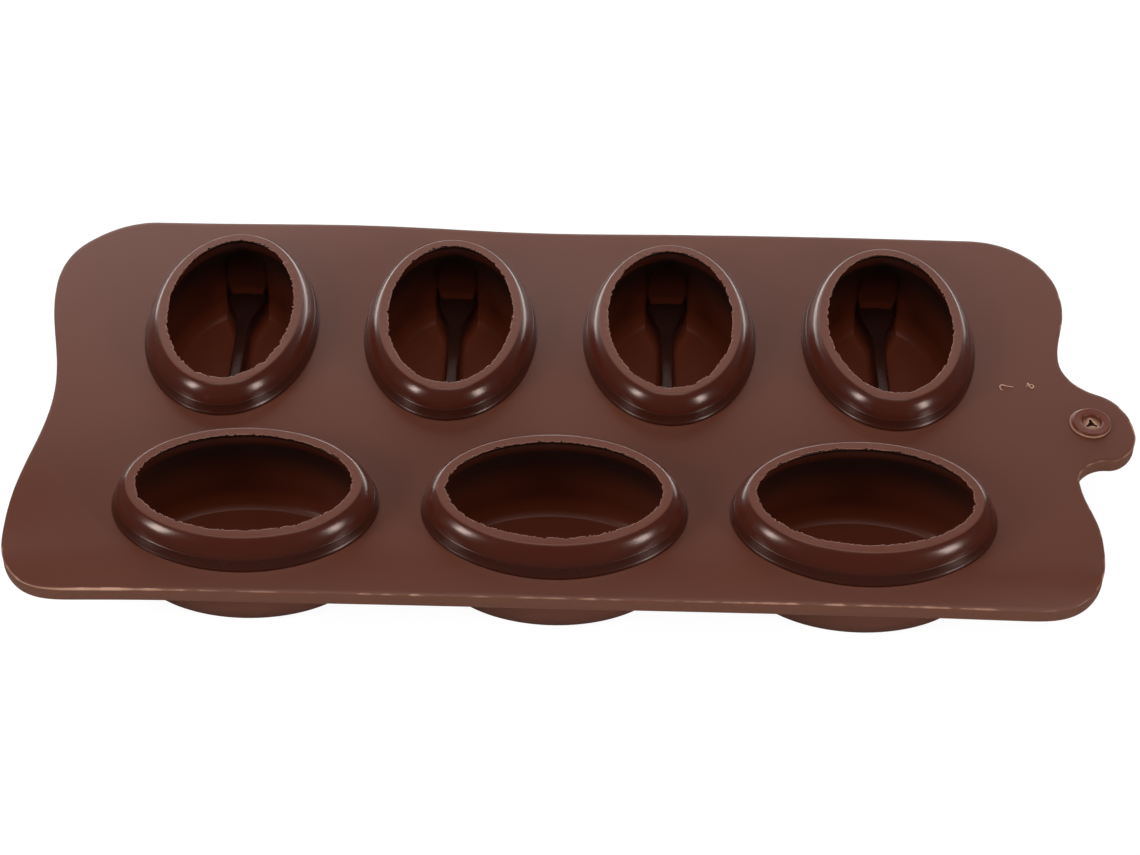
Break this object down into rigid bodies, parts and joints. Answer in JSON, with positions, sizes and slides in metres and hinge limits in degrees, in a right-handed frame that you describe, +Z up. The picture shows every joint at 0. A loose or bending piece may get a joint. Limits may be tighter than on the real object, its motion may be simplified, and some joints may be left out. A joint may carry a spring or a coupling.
{
  "type": "silicone chocolate mold",
  "caption": "Flexible flat tray mold with two rows of raised oval bean-shaped cups, waisted ends and a side tab with a hanging eyelet.",
  "frame": {"origin": "on the surface that the bowls stand on, under the middle of the mold's outline", "axes": "+X along the long side towards the hanging tab, +Y towards the back row of cups, +Z up, out of the cup mouths"},
  "size_m": [0.2188, 0.1036, 0.0232],
  "materials": {
    "matte_silicone": "matte moulded silicone, chocolate brown",
    "gloss_silicone": "smooth glossy moulded silicone, dark red-brown",
    "satin_silicone": "satin moulded silicone, red-brown"
  },
  "bodies": {
    "root": {"tray_sheet": "matte_silicone", "hang_eyelet": "satin_silicone", "collar_back_1": "gloss_silicone", "bowl_back_1": "gloss_silicone", "crease_ridge_back_1": "gloss_silicone", "collar_back_2": "gloss_silicone", "bowl_back_2": "gloss_silicone", "crease_ridge_back_2": "gloss_silicone", "collar_back_3": "gloss_silicone", "bowl_back_3": "gloss_silicone", "crease_ridge_back_3": "gloss_silicone", "collar_back_4": "gloss_silicone", "bowl_back_4": "gloss_silicone", "crease_ridge_back_4": "gloss_silicone", "collar_front_1": "gloss_silicone", "bowl_front_1": "gloss_silicone", "crease_ridge_front_1": "gloss_silicone", "collar_front_2": "gloss_silicone", "bowl_front_2": "gloss_silicone", "crease_ridge_front_2": "gloss_silicone", "collar_front_3": "gloss_silicone", "bowl_front_3": "gloss_silicone", "crease_ridge_front_3": "gloss_silicone"}
  },
  "joints": []
}
